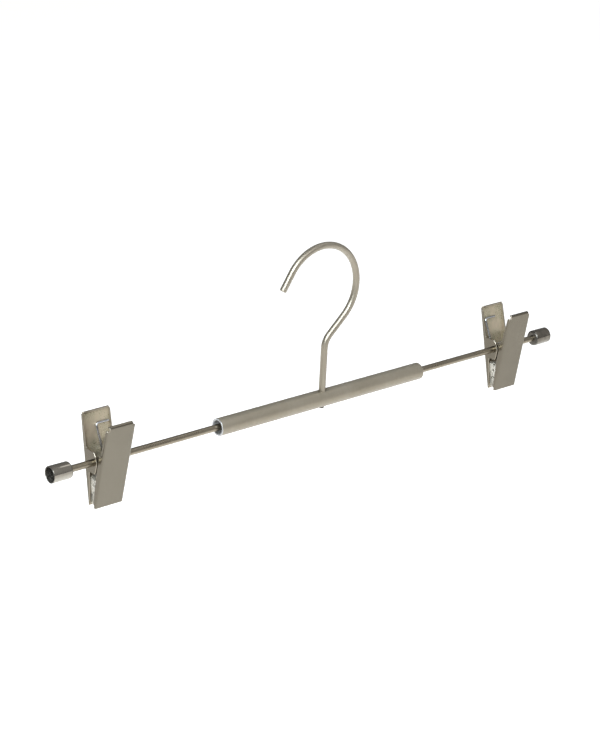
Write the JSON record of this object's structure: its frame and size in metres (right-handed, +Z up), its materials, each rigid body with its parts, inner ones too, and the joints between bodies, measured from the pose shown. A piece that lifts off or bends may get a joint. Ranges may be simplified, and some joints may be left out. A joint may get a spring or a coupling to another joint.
{
  "type": "trouser hanger",
  "caption": "Metal trouser hanger: a swivelling wire hook on a short tube, with sprung clips that slide on a thin rod.",
  "frame": {"origin": "the point inside the hook's arc that rests on a rail, where the hanger hangs", "axes": "+X along the rod to the viewer's right, +Y away from the viewer, +Z up; the hook opens towards -X and its plane holds the rod"},
  "size_m": [0.368, 0.0269, 0.1207],
  "materials": {
    "satin_nickel": "satin",
    "bright_nickel": "polished",
    "zinc_wire": "bright",
    "clear_pad": "milky"
  },
  "bodies": {
    "hook": {"hook": "satin_nickel"},
    "bar": {"centre_tube": "satin_nickel", "cross_rod": "satin_nickel", "left_bush": "satin_nickel", "right_bush": "satin_nickel", "left_cap": "bright_nickel", "right_cap": "bright_nickel"},
    "left_clip_slide": {"left_spring": "zinc_wire"},
    "left_clip_rear": {"left_rear_jaw": "satin_nickel", "left_rear_pad": "clear_pad"},
    "left_clip_front": {"left_front_jaw": "satin_nickel", "left_front_pad": "clear_pad"},
    "right_clip_slide": {"right_spring": "zinc_wire"},
    "right_clip_rear": {"right_rear_jaw": "satin_nickel", "right_rear_pad": "clear_pad"},
    "right_clip_front": {"right_front_jaw": "satin_nickel", "right_front_pad": "clear_pad"}
  },
  "joints": [
    {"name": "hook_swivel", "type": "hinge", "parent": "hook", "child": "bar", "pos_m": [0.0048, 0, -0.0903], "axis": [0, 0, 1], "continuous": true},
    {"name": "left_slide", "type": "slide", "parent": "bar", "child": "left_clip_slide", "axis": [1, 0, 0], "range_m": [-0.0144, 0.064]},
    {"name": "left_swing", "type": "hinge", "parent": "left_clip_slide", "child": "left_clip_rear", "pos_m": [-0.1435, 0, -0.0903], "axis": [1, 0, 0], "continuous": true, "deforming": ["left_spring"]},
    {"name": "left_jaw", "type": "hinge", "parent": "left_clip_rear", "child": "left_clip_front", "pos_m": [-0.1435, 0, -0.0903], "axis": [-1, 0, 0], "range_deg": [0, 32], "stiffness_Nm_per_rad": 0.05, "springref_deg": -17.19, "deforming": ["left_spring"]},
    {"name": "right_slide", "type": "slide", "parent": "bar", "child": "right_clip_slide", "axis": [1, 0, 0], "range_m": [-0.0625, 0.0159]},
    {"name": "right_swing", "type": "hinge", "parent": "right_clip_slide", "child": "right_clip_rear", "pos_m": [0.1516, 0, -0.0903], "axis": [1, 0, 0], "continuous": true, "deforming": ["right_spring"]},
    {"name": "right_jaw", "type": "hinge", "parent": "right_clip_rear", "child": "right_clip_front", "pos_m": [0.1516, 0, -0.0903], "axis": [-1, 0, 0], "range_deg": [0, 32], "stiffness_Nm_per_rad": 0.05, "springref_deg": -17.19, "deforming": ["right_spring"]}
  ]
}
